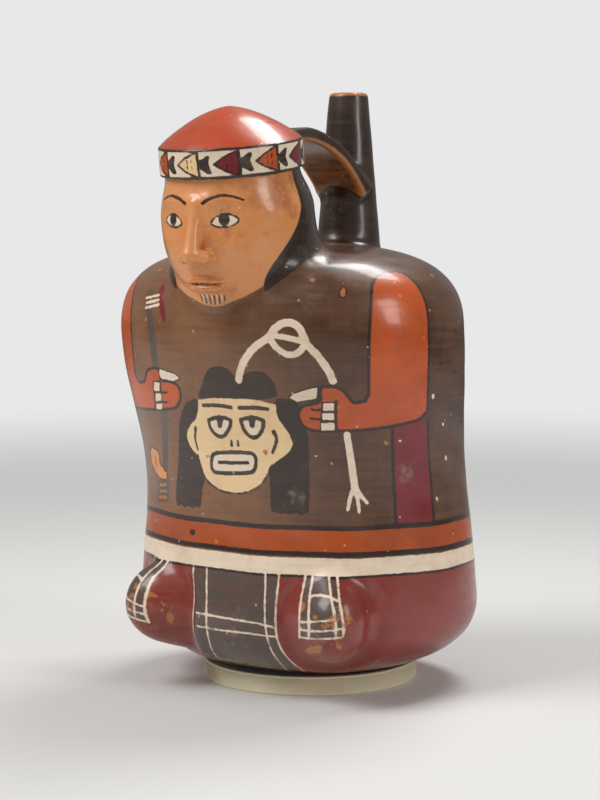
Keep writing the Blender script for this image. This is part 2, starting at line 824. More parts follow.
@dataclass(frozen=True)
class Stroke:
    """A brush stroke through image points, which may taper to an end width."""

    path: Path
    width: float
    end: float | None = None
    rounds: int = 2

    def paint(self, canvas: Canvas, slip: Slip) -> None:
        """Lays it in one slip."""
        canvas.line(slip, self.path, self.width, self.end, self.rounds)


def box(low: Point, high: Point) -> Path:
    """An upright rectangle between two corners."""
    return (low[0], low[1]), (high[0], low[1]), (high[0], high[1]), (low[0], high[1])


@dataclass(frozen=True)
class Tunic:
    """The plain tunic: belts, skirt and side panels, by their heights and places in the image."""

    column: float = 299.0
    skirt_top: float = 575.5
    cream_belt: Point = (557.5, 574.5)
    orange_belt: Point = (529.5, 551.5)
    line_heights: tuple[float, ...] = (527.5, 553.6, 575.8)
    line_widths: tuple[float, ...] = (2.3, 2.2, 1.3)
    notch: Path = ((188, 529), (197, 530), (192.5, 537))
    panel_front: Path = ((392.3, 427), (393.2, 464.3), (395.9, 527))
    panel_back: Path = ((427.5, 420), (429.8, 464.3), (434.3, 523))
    panel_line: float = 1.7

    def paint(self, canvas: Canvas) -> None:
        """Lays the belts all round, a little unsteadily, and the panels under both elbows."""
        u, v = canvas.sheet.T
        wander = v + 0.30 * np.sin(u / 23 + 1) + 0.15 * np.sin(u / 7)
        cloth = canvas.clothed
        canvas.lay(Slip.SKIRT, (wander - self.level(canvas, self.skirt_top))[cloth], cloth)
        for slip, (top, low) in ((Slip.BELT, self.orange_belt), (Slip.CREAM, self.cream_belt)):
            high, bottom = self.level(canvas, top), self.level(canvas, low)
            canvas.lay(slip, np.maximum(wander - high, bottom - wander)[cloth], cloth)
        for height, width in zip(self.line_heights, self.line_widths):
            canvas.lay(Slip.DARK, (np.abs(wander - self.level(canvas, height)) - width / 2)[cloth], cloth)
        canvas.fill(Slip.DARK, self.notch)
        self.panels(canvas)

    def level(self, canvas: Canvas, height: float) -> float:
        """Surface height of an image height on the front of the tunic."""
        return float(canvas.place([(self.column, height)])[0, 1])

    def panels(self, canvas: Canvas) -> None:
        """Lays the maroon panels with their dark sides."""
        sides = canvas.place(self.panel_front), canvas.place(self.panel_back)
        for flip in (SAME, MIRROR):
            front, back = (side * flip for side in sides)
            canvas.fill(Slip.MAROON, np.concatenate([front, back[::-1]]), rounds=0, seen=False)
            for edge in (front, back):
                canvas.line(Slip.DARK, edge, self.panel_line, seen=False)


@dataclass(frozen=True)
class Fist:
    """A fist's pale nail, the pale bars of its dark cuff and the lines between its fingers."""

    nail: Path
    nail_line: float
    cuff: Path
    bars: tuple[tuple[Point, Point], ...]
    fingers: tuple[Stroke, ...]

    def paint(self, canvas: Canvas) -> None:
        """Lays them over the hand."""
        canvas.fill(Slip.CREAM, self.nail, rounds=0)
        canvas.line(Slip.DARK, (*self.nail, self.nail[0]), self.nail_line, rounds=0)
        canvas.fill(Slip.DARK, self.cuff, rounds=0)
        for low, high in self.bars:
            canvas.fill(Slip.CREAM, box(low, high), rounds=0)
        for finger in self.fingers:
            finger.paint(canvas, Slip.DARK)


@dataclass(frozen=True)
class LeftArm:
    """The arm on the figure's left, which holds the cord."""

    outline: float = 1.5
    outer: Path = (
        (398.6, 271), (411, 278.6), (420, 289.3), (426.3, 305.4), (428.6, 330.4), (429, 357), (428, 392.9),
        (427, 417),
    )
    under: Path = ((395, 425.9), (370, 429.5), (337.9, 431.3), (320, 431.3))
    hand: Path = (
        (310.2, 430), (303, 425.9), (298.6, 417.9), (298.6, 409.8), (304, 405), (321.8, 402.7),
    )
    upper: Path = (
        (319, 387), (334.3, 386.6), (341.4, 389.3), (346.8, 394.6), (352, 401.8), (355.7, 403.2),
        (368.8, 400),
    )
    inner: Path = ((368.8, 375), (369, 339.3), (370, 303.6), (371.8, 279.5), (384.3, 272.3))
    crease: Stroke = Stroke(((322, 402.5), (328, 405.5), (337, 401.5)), 1.3)
    fist: Fist = Fist(
        nail=(
            (317.3, 387.5), (305.7, 390), (293.2, 394.3), (289.3, 397.9), (296.8, 401.8), (316.4, 398.6),
        ),
        nail_line=1.5,
        cuff=((321.5, 402), (337.5, 401.5), (337.5, 432), (319.5, 432)),
        bars=(
            ((323.2, 403.2), (334, 410.7)),
            ((322.2, 413.4), (334.3, 420)),
            ((321.2, 422.9), (334.6, 430.6)),
        ),
        fingers=(
            Stroke(((311, 409), (316, 410.5), (321.5, 409.8)), 1.0, 1.4),
            Stroke(((310.5, 418.4), (316, 419.6), (321.5, 418.8)), 1.0, 1.4),
        ),
    )

    def paint(self, canvas: Canvas) -> None:
        """Lays the sleeve with its hand, and the fist over it."""
        ring = (*self.outer, *self.under, *self.hand, *self.upper, *self.inner)
        canvas.fill(Slip.ORANGE, ring, self.outline)
        self.crease.paint(canvas, Slip.DARK)
        self.fist.paint(canvas)


@dataclass(frozen=True)
class RightArm:
    """The arm on the figure's right, which holds a staff; its far side mirrors the left arm."""

    outline: float = 1.4
    inner: Path = ((145.2, 269), (137.3, 281.3), (133, 299), (131.2, 325), (133, 353), (136.4, 381))
    hand: Path = (
        (144.3, 383), (145.7, 376), (147, 369.9), (153, 368), (159.2, 369), (160, 381), (171, 381.6),
        (178.5, 385.6), (181, 395.3), (179.4, 404), (174, 409.3), (142.5, 409.3),
    )
    fist: Fist = Fist(
        nail=(
            (159.7, 369.3), (164, 370.7), (174, 374.2), (179.7, 378.3), (174, 381), (162, 378.6),
            (159.4, 376),
        ),
        nail_line=1.2,
        cuff=((152.5, 380.5), (161, 380), (163.5, 410), (155, 410)),
        bars=(
            ((154, 382.1), (159.6, 391)),
            ((155.7, 393.5), (161.2, 401)),
            ((156.4, 403.7), (162.2, 409.3)),
        ),
        fingers=(
            Stroke(((161, 392.7), (168, 392.5)), 1.2, 0.8),
            Stroke(((161.8, 402.3), (168, 402)), 1.2, 0.8),
        ),
    )

    def paint(self, canvas: Canvas) -> None:
        """Lays the sleeve with its hand, and the fist over it."""
        inner, hand = canvas.place(self.inner), canvas.place(self.hand)
        outer = canvas.place(LeftArm().outer) * MIRROR
        foot = np.array([[outer[-1, 0], hand[-1, 1]]])
        ring = np.concatenate([outer, foot, hand[::-1], inner[::-1]])
        canvas.fill(Slip.ORANGE, ring, self.outline, seen=False)
        self.fist.paint(canvas)


@dataclass(frozen=True)
class Staff:
    """The staff in the right hand, with its pale bindings, leaves, tail and barred foot."""

    shaft: tuple[Stroke, ...] = (
        Stroke(((149.5, 293), (151.3, 325), (154, 353), (156.5, 375)), 4.9),
        Stroke(((163.6, 408), (165, 439), (165, 467)), 4.9),
    )
    bindings: tuple[Stroke, ...] = (
        Stroke(((146.4, 298), (159, 295)), 1.3, rounds=0),
        Stroke(((146.4, 302.8), (158.7, 299.8)), 1.3, rounds=0),
        Stroke(((145.6, 308), (158.5, 304.6)), 1.3, rounds=0),
    )
    leaves: Path = (
        (164.5, 282.2), (165, 288.3), (161.8, 297), (165.3, 307.6), (165.7, 320.8), (162.7, 321.6),
        (159.2, 307.6), (158, 298.8), (159.2, 290), (161.8, 284.8),
    )
    tail: Path = (
        (150.4, 446), (156, 449), (159.2, 453), (160, 465.4), (166.2, 468), (168, 479.5), (161, 479.5),
        (155.7, 472.4), (151.3, 462),
    )
    tail_line: float = 0.8
    tail_crease: Stroke = Stroke(((155, 456), (157, 470)), 0.8, 0.5)
    foot: Path = ((157.5, 479.5), (168.5, 479.5), (168.8, 502), (157.5, 502))
    foot_bars: tuple[Stroke, ...] = (
        Stroke(((160, 485), (166, 484.5)), 1.5, rounds=0),
        Stroke(((160, 491), (166.5, 491)), 1.5, rounds=0),
        Stroke(((159.5, 497), (166, 497.5)), 1.5, rounds=0),
    )

    def paint(self, canvas: Canvas) -> None:
        """Lays the staff, which the sleeve and the fist then cover."""
        canvas.fill(Slip.MAROON, self.leaves, rounds=2)
        canvas.fill(Slip.FLESH, self.tail, self.tail_line)
        canvas.fill(Slip.GREY, self.foot, rounds=0)
        self.tail_crease.paint(canvas, Slip.DARK)
        layers = ((Slip.GREY, self.shaft), (Slip.CREAM, self.bindings), (Slip.CLAY, self.foot_bars))
        for slip, strokes in layers:
            for stroke in strokes:
                stroke.paint(canvas, slip)


@dataclass(frozen=True)
class TrophyHead:
    """The painted trophy head: a pale mask with heavy dark hair."""

    mask: Path = (
        (198, 397), (275, 400), (277, 418), (285.5, 428), (291.5, 439), (293, 445), (289, 453), (272, 464),
        (269, 472), (262, 485), (249.5, 492), (237, 494), (223, 492), (211, 485), (204, 476), (200.5, 465),
        (198, 455), (191, 448), (187, 439), (187, 432), (191, 424), (197, 418), (198, 408),
    )
    jaw: tuple[int, int] = (7, 17)
    jaw_line: float = 1.0
    crown: Path = (
        (197, 400), (199, 392), (202, 385), (204, 376), (209, 368), (219, 365.5), (227, 368), (234, 376),
        (239, 380.4), (244, 374), (255, 370), (265, 372.5), (272, 379.5), (276, 388), (278, 400),
    )
    left_lock: Path = (
        (199, 398), (188, 400.5), (183, 407.5), (180, 418), (179, 430), (178.5, 457), (177, 474),
        (175.5, 500), (178, 507), (181, 504), (185, 508.5), (189, 505.5), (193, 509), (197, 506),
        (200.5, 509.3), (203, 483), (214, 440),
    )
    right_lock: Path = (
        (272, 398), (291, 399), (300, 405), (305, 425), (309, 440), (309.5, 483), (309, 514),
        (305, 512), (302, 516), (296, 512.5), (290, 515), (285, 512.5), (281, 515), (275, 511.5),
        (270.5, 513), (270, 483), (266, 450),
    )
    left_eye: Path = (
        (208.3, 417.7), (231, 417.7), (230, 428.6), (223.2, 437.4), (216, 435.6), (210, 427.7),
    )
    right_eye: Path = (
        (240.4, 418.4), (263.5, 418), (263.2, 428.6), (258.3, 436.5), (252, 438.3), (245, 432),
        (241.6, 424.2),
    )
    mouth: Path = (
        (211, 462), (213, 454), (219, 452.3), (249, 452.3), (255, 455), (256.5, 463), (254, 471.5),
        (249, 473.3), (218, 473), (212.5, 471),
    )
    feature_line: float = 1.9
    brows: tuple[Stroke, ...] = (
        Stroke(((203.4, 405.5), (217, 405), (231, 407.5)), 1.7, 2.0),
        Stroke(((239.3, 408), (253, 407.6), (267.4, 409)), 2.0, 1.7),
    )
    pupils: tuple[Stroke, ...] = (
        Stroke(((219.7, 418.5), (219.7, 425.5)), 3.5, 2.5, 0),
        Stroke(((252, 418.5), (252, 425.5)), 3.5, 2.5, 0),
    )
    nostrils: tuple[Stroke, ...] = (
        Stroke(((231.6, 440.8), (231.6, 445.4)), 1.1, 1.6, 0),
        Stroke(((238, 440.8), (238, 445.4)), 1.1, 1.6, 0),
    )
    teeth: Stroke = Stroke(((219, 462.5), (247.8, 462.8)), 1.7, rounds=0)
    ears: tuple[Stroke, ...] = (
        Stroke(((195.7, 427.7), (194.6, 437.4), (197.8, 449.6)), 1.6, 1.0),
        Stroke(((274, 432), (277.6, 440), (272.3, 453)), 2.3, 1.2),
    )

    def paint(self, canvas: Canvas) -> None:
        """Lays hair and mask, then the features over it."""
        for shape in (self.crown, self.left_lock, self.right_lock):
            canvas.fill(Slip.HAIR, shape)
        canvas.fill(Slip.YELLOW, self.mask)
        canvas.line(Slip.DARK, self.mask[slice(*self.jaw)], self.jaw_line)
        for shape in (self.left_eye, self.right_eye, self.mouth):
            canvas.fill(Slip.CREAM, shape, self.feature_line, edge_slip=Slip.INK)
        for stroke in (*self.brows, *self.pupils, *self.nostrils, self.teeth, *self.ears):
            stroke.paint(canvas, Slip.INK)


@dataclass(frozen=True)
class Cord:
    """The pale knotted cord between the trophy head and the fist, with its forked end."""

    rise: Stroke = Stroke(
        ((238.6, 379.9), (239.9, 370.7), (245, 358.5), (254.8, 346.2), (268.8, 337.4)), 3.4,
    )
    knot: tuple[Stroke, ...] = (
        Stroke(
            (
                (268.8, 337.4), (275.8, 326.9), (284.6, 322.5), (293.4, 323), (300.4, 328.7),
                (303.9, 338.3), (305.6, 342.7),
            ),
            3.5,
        ),
        Stroke(
            ((268.8, 337.4), (275.8, 347.9), (286.3, 355), (295, 355), (302, 349.7), (305.6, 342.7)), 2.8,
        ),
        Stroke(((270.6, 334.8), (286.3, 337.4), (300.4, 341), (305.6, 344.4)), 2.52),
    )
    fall: Stroke = Stroke(
        ((305.7, 344.6), (316.4, 353.6), (325.4, 366), (331.0, 375.8), (332.8, 380.6)), 3.4,
    )
    end: Stroke = Stroke(((347, 434.8), (350.4, 455.4), (354.8, 487.5)), 3.06, 3.57)
    fork: tuple[Stroke, ...] = (
        Stroke(((354.8, 486), (350.32, 497), (347.7, 510)), 2.4, 1.3),
        Stroke(((354.8, 486), (357.28, 497), (359.3, 512.5)), 2.4, 1.3),
        Stroke(((354.8, 486), (362.08, 497), (367.3, 503)), 2.4, 1.3),
    )

    def paint(self, canvas: Canvas) -> None:
        """Lays all its strokes."""
        for stroke in (self.rise, *self.knot, self.fall, self.end, *self.fork):
            stroke.paint(canvas, Slip.CREAM)


@dataclass(frozen=True)
class Loincloth:
    """The checked cloth that hangs between the knees, and the checked patch on each knee."""

    thread: float = 0.95
    tuck: float = 20.0
    foot: float = 650.0
    right_shift: float = 6.0
    hem: Stroke = Stroke(((204, 653), (225, 659.5), (255, 665.5), (292, 669)), 0.57)
    tucked: tuple[int, int] = (6, 9)
    cloth: Path = (
        (193.4, 566), (279.4, 570), (275.9, 602.5), (275.2, 627.5), (279, 646.3), (293, 663.4),
        (302.5, 669.7), (247.8, 662), (202.5, 655), (195.5, 640), (193.9, 610.3),
    )
    lines: tuple[Path, ...] = (
        ((193.4, 568), (193.9, 610.3), (195.5, 640), (202.5, 654)),
        ((206.6, 569), (206.9, 613.4), (209.5, 640), (216.6, 656.4)),
        ((265.5, 572), (264.2, 610.3), (267.3, 640), (279, 661.9), (283.8, 666.6)),
        ((279.4, 572), (275.9, 602.5), (275.2, 627.5), (279, 646.3), (293, 663.4), (302.5, 669.7)),
        ((196.3, 612.7), (208.8, 615), (240, 620.5), (255.6, 622.8), (274.4, 627.5)),
        ((197, 626), (216.6, 629.8), (240, 632.2), (275.2, 636.9)),
    )
    patch: Path = (
        (304.8, 571), (338.4, 571), (338.4, 591.6), (341.6, 607.2), (343.9, 621.3), (343.9, 636.9),
        (299.4, 638.4), (299.4, 621.3), (301, 602.5), (302.5, 591.6),
    )
    patch_lines: tuple[Path, ...] = (
        ((305.8, 573), (301, 598.6), (299.4, 610.3), (299.4, 637.7)),
        ((313.4, 573), (309.5, 594.7), (308.4, 610.3), (308.8, 635.3)),
        ((328.6, 573), (330.3, 594.7), (333, 607.2), (335.3, 619.7), (335.6, 635.3)),
        ((337.4, 573), (338.4, 594.7), (340.8, 610.3), (343.9, 627.5), (343, 637)),
        ((308.8, 597), (318, 594.7), (329, 596.3), (336.9, 601)),
        ((301, 622), (318, 621.3), (335.3, 619.7)),
        ((301, 629.8), (341.6, 628.8)),
        ((299.4, 637.2), (318, 638.8), (343, 637.2)),
    )

    def paint(self, canvas: Canvas) -> None:
        """Lays the cloth down under the bowl, and a patch on each knee, the right one mirrored."""
        cloth = canvas.place(self.cloth)
        cloth[slice(*self.tucked), 1] -= self.tuck
        canvas.fill(Slip.GREY, cloth, rounds=0, seen=False)
        for path in self.lines:
            thread = canvas.place(path)
            if path[-1][1] > self.foot:
                after = 2 * thread[-1] - thread[-2]
                after[1] = thread[-1, 1] - self.tuck
                thread = np.concatenate([thread, [after]])
            canvas.line(Slip.CREAM, thread, self.thread, seen=False)
        self.hem.paint(canvas, Slip.CREAM)
        patch = canvas.place(self.patch)
        threads = [canvas.place(path) for path in self.patch_lines]
        for flip, shift in ((SAME, 0.0), (MIRROR, -self.right_shift)):
            move = np.array([shift, 0])
            canvas.fill(Slip.GREY, patch * flip + move, rounds=0, seen=False)
            for thread in threads:
                canvas.line(Slip.CREAM, thread * flip + move, self.thread, seen=False)


@dataclass(frozen=True)
class HeadPaint:
    """Face, hair, headband and cap, drawn on the head's own axis; the face is a plain, calm one."""

    lowest: float = 150.0
    jaw_turn: float = math.radians(40)
    jaw_span: Point = (-32.0, 4.0)
    spout_foot: float = 190.0
    bare_rim: float = 279.3
    bare_under: float = 1.3
    soot_inset: float = 2.6
    fish: int = 11
    first_apex: float = math.radians(19.6)
    colours: tuple[Slip, ...] = (
        Slip.MAROON, Slip.ORANGE, Slip.MAROON, Slip.YELLOW, Slip.MAROON, Slip.ORANGE, Slip.MAROON,
        Slip.YELLOW, Slip.MAROON, Slip.ORANGE, Slip.YELLOW,
    )
    fish_body: Path = ((0, 0), (4.2, 2.9), (10.6, 5.5), (10.8, -5.5), (4.2, -2.9))
    fish_base: Path = ((11.0, 5.3), (11.2, -5.3))
    fish_tail: Path = (
        (11.2, 1.5), (13.0, 2.6), (15.4, 4.2), (17.0, 3.9), (15.8, 0.3), (17.2, -3.7), (15.2, -4.3),
        (13.0, -2.7), (11.2, -1.5),
    )
    scales: Path = ((5.4, 1.3), (7.6, 1.6), (5.4, -1.2), (7.6, -1.5))
    brow: Path = ((4.6, 8.2), (9.0, 10.6), (16.0, 11.4), (23.5, 8.6))
    lid: Path = (
        (7.4, -0.9), (9.6, 1.7), (13.6, 3.3), (17.8, 2.6), (21.4, 0.2), (17.6, -2.2), (13.4, -2.9),
        (9.8, -2.2),
    )
    iris: Place = (14.0, 0.6, 2.6)
    mouth: Path = ((0.0, -27.9), (5.0, -28.1), (9.6, -27.6))
    beard: Path = ((1.75, -34.0), (1.55, -41.0))
    beard_half: int = 5

    def paint(self, canvas: Canvas) -> None:
        """Lays the grounds and then the drawing."""
        head = canvas.bottle.head
        near = np.flatnonzero(canvas.points[:, 2] > self.lowest)
        points = canvas.points[near]
        q = head.local(points)
        d = canvas.bottle.forms(points)
        side, h = head.side(q), q[:, 2]
        jaw = self.jaw_turn * (1 - smooth(*self.jaw_span, h))
        edge = (side - head.hair_edge + jaw) * head.half_width
        face = np.minimum(d[Clay.FACE], d[Clay.NOSE])
        crown = np.minimum(d[Clay.CAP], d[Clay.BAND])
        strap = d[Clay.STRAP] - np.minimum(crown, face)
        chin = face - np.minimum(d[Clay.TORSO], d[Clay.NAPE])
        canvas.lay(Slip.FLESH, np.maximum.reduce([chin, edge, h - head.band_low]), near)
        collar = np.minimum(face, d[Clay.NAPE]) - d[Clay.TORSO] - 3.0
        canvas.lay(Slip.HAIR, np.maximum.reduce([collar, -edge, h - head.band_low]), near)
        canvas.lay(Slip.CAP, np.maximum(head.band_high - h, crown - 2), near)
        spout = np.maximum(d[Clay.SPOUT] - d[Clay.TORSO] - 1.5, self.spout_foot - points[:, 2])
        canvas.lay(Slip.HAIR, np.maximum(strap, d[Clay.STRAP] - 3), near)
        canvas.lay(Slip.HAIR, np.maximum(spout, d[Clay.SPOUT] - 4), near)
        self.bare_clay(canvas, near, d)
        turn = np.arctan2(q[:, 0], -q[:, 1] / head.depth)
        middle = (head.band_low + head.band_high) / 2
        banded = np.flatnonzero((np.abs(d[Clay.BAND]) < 1.2) & (np.abs(h - middle) < 9) & (strap > -0.3))
        self.band(canvas, near[banded], np.stack([turn[banded] * head.band_radius, h[banded]], 1))
        front = np.flatnonzero((face < 1.5) & (side < 1.2) & (h < 17) & (chin < 1))
        self.face(canvas, near[front], np.stack([turn[front] * head.half_width, h[front]], 1))

    def bare_clay(self, canvas: Canvas, near: Array, d: dict[Clay, Array]) -> None:
        """Leaves the strap's underside, sooty inside its rim, and the spout's lip bare.

        Args:
            canvas: the skin to paint.
            near: indices of the skin's upper points.
            d: distances of those points to every form.
        """
        points = canvas.points[near]
        strap = np.flatnonzero(d[Clay.STRAP] < 2)
        t, side, up = canvas.bottle.strap.across(points[strap])
        rivals = np.minimum(np.minimum(d[Clay.CAP], d[Clay.FACE]), d[Clay.SPOUT])[strap]
        under = np.maximum(up + self.bare_under, d[Clay.STRAP][strap] - rivals)
        canvas.lay(Slip.CLAY, under, near[strap])
        inside = np.abs(side) - canvas.bottle.strap.half(t) + self.soot_inset
        canvas.lay(Slip.SOOT, np.maximum(under, inside), near[strap])
        canvas.lay(Slip.CLAY, np.maximum(self.bare_rim - points[:, 2], d[Clay.SPOUT] - 2), near)

    def band(self, canvas: Canvas, where: Array, at: Array) -> None:
        """Lays a row of fish round the headband.

        Args:
            canvas: the skin to paint.
            where: indices of the band's points.
            at: places of those points along and up the band.
        """
        head = canvas.bottle.head
        low, high = head.band_low, head.band_high
        around = 2 * math.pi * head.band_radius
        cream = np.maximum(low + 0.9 - at[:, 1], at[:, 1] - high + 0.5)
        body, base, tail = (np.array(path) for path in (self.fish_body, self.fish_base, self.fish_tail))
        for number in range(self.fish):
            apex = self.first_apex * head.band_radius + number * around / self.fish
            local = at - np.array([apex, (low + high) / 2])
            local[:, 0] = (local[:, 0] + around / 2) % around - around / 2
            bodied = area_distance(local, body)
            canvas.lay(self.colours[number % len(self.colours)], bodied, where)
            cream = np.maximum(cream, 0.2 - bodied)
            canvas.lay(Slip.INK, np.abs(bodied) - 0.5, where)
            canvas.lay(Slip.INK, stroke_distance(local, base, np.array([1.2, 1.2])), where)
            canvas.lay(Slip.INK, area_distance(local, tail), where)
            for x, y in self.scales:
                dash = np.array([(x - 0.1, y - 0.7), (x + 0.2, y + 0.7)])
                canvas.lay(Slip.INK, stroke_distance(local, dash, np.array([0.7, 0.7])), where)
        canvas.lay(Slip.CREAM, cream, where)
        canvas.lay(Slip.INK, np.abs(at[:, 1] - low - 0.2) - 0.8, where)
        canvas.lay(Slip.INK, np.abs(at[:, 1] - high) - 0.55, where)

    def face(self, canvas: Canvas, where: Array, at: Array) -> None:
        """Lays plain brows, almond eyes, a line between the lips and short strokes on the chin.

        Args:
            canvas: the skin to paint.
            where: indices of the face's points.
            at: places of those points across and up the face.
        """
        folded = np.stack([np.abs(at[:, 0]), at[:, 1]], 1)
        for slip, path, start, end in ((Slip.INK, self.brow, 1.7, 0.9), (Slip.DARK, self.mouth, 0.8, 0.5)):
            line = soften(np.array(path), False, 2)
            canvas.lay(slip, stroke_distance(folded, line, np.linspace(start, end, len(line))), where)
        almond = area_distance(folded, soften(np.array(self.lid), True, 1))
        canvas.lay(Slip.CREAM, almond, where)
        canvas.lay(Slip.INK, np.abs(almond) - 0.45, where)
        x, y, radius = self.iris
        iris = np.hypot(folded[:, 0] - x, folded[:, 1] - y) - radius
        canvas.lay(Slip.INK, np.maximum(iris, almond), where)
        for number in range(-self.beard_half, self.beard_half + 1):
            ends = np.array([(number * across, height) for across, height in self.beard])
            slip = Slip.CREAM if number % 2 == 0 else Slip.INK
            canvas.lay(slip, stroke_distance(at, ends, np.array([1.1, 0.7])), where)


@dataclass(frozen=True)
class Scars:
    """Old damage: a tear, and chips to the clay and pale flakes, each an image point and half sizes."""

    chips: tuple[tuple[float, float, float, float], ...] = (
        (136.7, 587, 5, 4), (132, 595, 2, 3), (151, 595, 7, 3.5), (170, 617, 4, 8), (162, 610, 2, 2),
        (302, 607, 3.5, 5), (315, 617, 2.8, 3.2), (300, 627, 2.5, 2.5), (313, 650, 11, 5),
        (339, 646.5, 3.5, 3), (342, 611, 3.2, 3), (386.5, 443, 3, 2.6), (265.3, 452.5, 3.2, 3),
        (208, 456, 2.6, 1.8),
    )
    flakes: tuple[tuple[float, float, float, float], ...] = (
        (433, 397, 1.6, 4), (443, 424, 1.2, 3), (446, 458, 1.2, 3), (437, 498, 1.2, 3.4),
        (400, 441, 1.8, 1.2), (424, 337, 1.4, 1.2), (316, 456, 1.4, 1.2),
    )
    tear: Path = ((343.5, 285), (347, 291.5), (345, 297.5), (340.5, 297), (339, 292.5))
    tear_line: float = 0.8
    seed: int = 5

    def paint(self, canvas: Canvas) -> None:
        """Breaks the slip at each place, with ragged edges."""
        draw = np.random.default_rng(self.seed)
        turns = np.linspace(0, 2 * np.pi, 13, endpoint=False)
        for slip, marks in ((Slip.CLAY, self.chips), (Slip.CREAM, self.flakes)):
            for x, y, wide, tall in marks:
                reach = draw.uniform(0.55, 1.15, len(turns))
                ring = np.stack([x + wide * reach * np.cos(turns), y + tall * reach * np.sin(turns)], 1)
                canvas.fill(slip, ring, rounds=0)
        canvas.fill(Slip.CLAY, self.tear, self.tear_line)


# Finishes


@dataclass
class Nodes:
    """A node tree with short ways to add and join nodes."""

    tree: bpy.types.NodeTree

    def add(self, kind: str, **settings: object) -> bpy.types.Node:
        """Adds a node and sets its properties."""
        node = self.tree.nodes.new(kind)
        for name, value in settings.items():
            setattr(node, name, value)
        return node

    def feed(self, node: bpy.types.Node, inputs: dict[str | int, object]) -> bpy.types.Node:
        """Joins outputs to a node's inputs, or sets them, by name or number."""
        for key, value in inputs.items():
            if isinstance(value, Socket):
                self.tree.links.new(value, node.inputs[key])
            else:
                node.inputs[key].default_value = value
        return node

    def put(self, kind: str, inputs: dict[str | int, object], **settings: object) -> bpy.types.NodeOutputs:
        """Adds a node, sets it, feeds it and gives what it puts out."""
        return self.feed(self.add(kind, **settings), inputs).outputs

    def math(self, operation: str, a: object, b: object, clamp: bool = False) -> Socket:
        """The result of one sum."""
        return self.put("ShaderNodeMath", {0: a, 1: b}, operation=operation, use_clamp=clamp)[0]

    def plus(self, a: object, b: object, clamp: bool = False) -> Socket:
        """a and b added."""
        return self.math("ADD", a, b, clamp)

    def minus(self, a: object, b: object, clamp: bool = False) -> Socket:
        """b taken from a."""
        return self.math("SUBTRACT", a, b, clamp)

    def times(self, a: object, b: object) -> Socket:
        """a and b multiplied."""
        return self.math("MULTIPLY", a, b)

    def span(self, value: object, low: float, high: float, start: float = 0.0, end: float = 1.0) -> Socket:
        """A value mapped from one range to another along an S curve."""
        inputs = dict(enumerate((value, low, high, start, end)))
        return self.put("ShaderNodeMapRange", inputs, interpolation_type="SMOOTHSTEP")[0]

    def mix(self, factor: object, a: object, b: object, blend: str = "MIX") -> Socket:
        """A blend of two colours."""
        return self.put("ShaderNodeMix", {0: factor, 6: a, 7: b}, data_type="RGBA", blend_type=blend)[2]

    def noise(self, vector: object, scale: float, detail: float = 3.0, rough: float = 0.5) -> Socket:
        """Fractal noise between 0 and 1."""
        inputs = {"Vector": vector, "Scale": scale, "Detail": detail, "Roughness": rough}
        return self.put("ShaderNodeTexNoise", inputs)[0]

    def stretch(self, vector: object, scale: Place) -> Socket:
        """Coordinates scaled along each axis."""
        return self.put("ShaderNodeMapping", {"Vector": vector, "Scale": scale})[0]

    def place(self) -> Socket:
        """Object coordinates."""
        return self.put("ShaderNodeTexCoord", {})["Object"]

    def attribute(self, name: str) -> Socket:
        """A number that the skin keeps at each vertex."""
        return self.put("ShaderNodeAttribute", {}, attribute_name=name)["Fac"]

    def ray(self) -> Socket:
        """1 for what the camera sees directly."""
        return self.put("ShaderNodeLightPath", {})["Is Camera Ray"]


def group(
    kind: str, name: str, inputs: dict[str, str], outputs: dict[str, str]
) -> tuple[Nodes, bpy.types.NodeOutputs]:
    """A new node group.

    Args:
        kind: the type of its tree.
        name: the group's name.
        inputs: socket types by name.
        outputs: socket types by name.

    Returns:
        Its nodes and what is put into it.
    """
    tree = bpy.data.node_groups.new(name, kind)
    for sockets, way in ((inputs, "INPUT"), (outputs, "OUTPUT")):
        for key, socket in sockets.items():
            tree.interface.new_socket(key, in_out=way, socket_type="NodeSocket" + socket)
    nodes = Nodes(tree)
    return nodes, nodes.put("NodeGroupInput", {})


def numbers(*names: str) -> dict[str, str]:
    """Number sockets of the given names."""
    return dict.fromkeys(names, "Float")


def coat_group() -> bpy.types.NodeTree:
    """One coat of slip over what lies under it: a brushed edge, and streaks where it is thin."""
    colours = {"Under": "Color", "Slip": "Color"}
    inputs = colours | numbers("Edge", "Wander", "Streak", "Thin")
    nodes, given = group("ShaderNodeTree", "slip coat", inputs, {"Color": "Color", "Mask": "Float"})
    mask = nodes.span(nodes.plus(given["Edge"], given["Wander"]), -0.22, 0.22, 1.0, 0.0)
    gaps = nodes.times(given["Streak"], given["Thin"])
    mask = nodes.minus(mask, nodes.times(mask, gaps), clamp=True)
    colour = nodes.mix(mask, given["Under"], given["Slip"])
    nodes.put("NodeGroupOutput", {"Color": colour, "Mask": mask})
    return nodes.tree


def burnish_group() -> bpy.types.NodeTree:
    """Marks of the burnishing pebble and the firing: streaks, mottling and a matching height."""
    nodes, _ = group("ShaderNodeTree", "burnish", {}, numbers("Streak", "Mottle", "Height", "Rough"))
    place = nodes.place()
    flat = nodes.noise(nodes.stretch(place, (38, 38, 420)), 1.0, 4.0, 0.6)
    slant = nodes.noise(nodes.stretch(place, (260, 200, 45)), 1.0, 3.0, 0.6)
    streak = nodes.span(nodes.plus(nodes.times(flat, 0.72), nodes.times(slant, 0.28)), 0.36, 0.68)
    mottle = nodes.span(nodes.noise(place, 34.0, 5.0, 0.62), 0.30, 0.72)
    grain = nodes.noise(place, 1500.0, 2.0)
    pebble = nodes.noise(nodes.stretch(place, (90, 90, 300)), 1.0, 2.0)
    height = nodes.plus(nodes.times(pebble, 0.8), nodes.times(grain, 0.2))
    rough = nodes.plus(nodes.times(streak, 0.10), nodes.times(mottle, 0.10))
    nodes.put("NodeGroupOutput", {"Streak": streak, "Mottle": mottle, "Height": height, "Rough": rough})
    return nodes.tree


